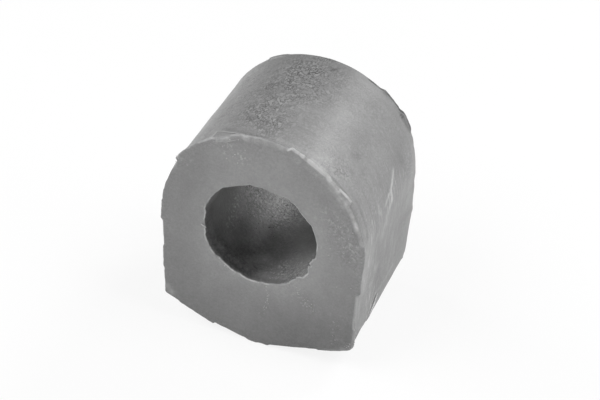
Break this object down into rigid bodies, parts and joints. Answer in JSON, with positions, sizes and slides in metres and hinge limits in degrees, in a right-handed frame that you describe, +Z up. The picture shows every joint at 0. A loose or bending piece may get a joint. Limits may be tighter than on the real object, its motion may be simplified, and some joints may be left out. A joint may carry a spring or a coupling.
{
  "type": "sway bar bushing",
  "caption": "Moulded rubber stabiliser bar bush: D-shaped block with a round top, straight sides, a crowned base and a plain through bore for the bar.",
  "frame": {"origin": "centre of the bore at half length", "axes": "+Y along the bore, away from the face with the moulding flash; +Z up, towards the round top; +X to the right seen from the flashed face"},
  "size_m": [0.0434, 0.033, 0.0522],
  "materials": {
    "moulded_rubber": "matt moulded rubber, grey with bloom, scuffs and moulding flash"
  },
  "bodies": {
    "root": {"bushing": "moulded_rubber"}
  },
  "joints": []
}
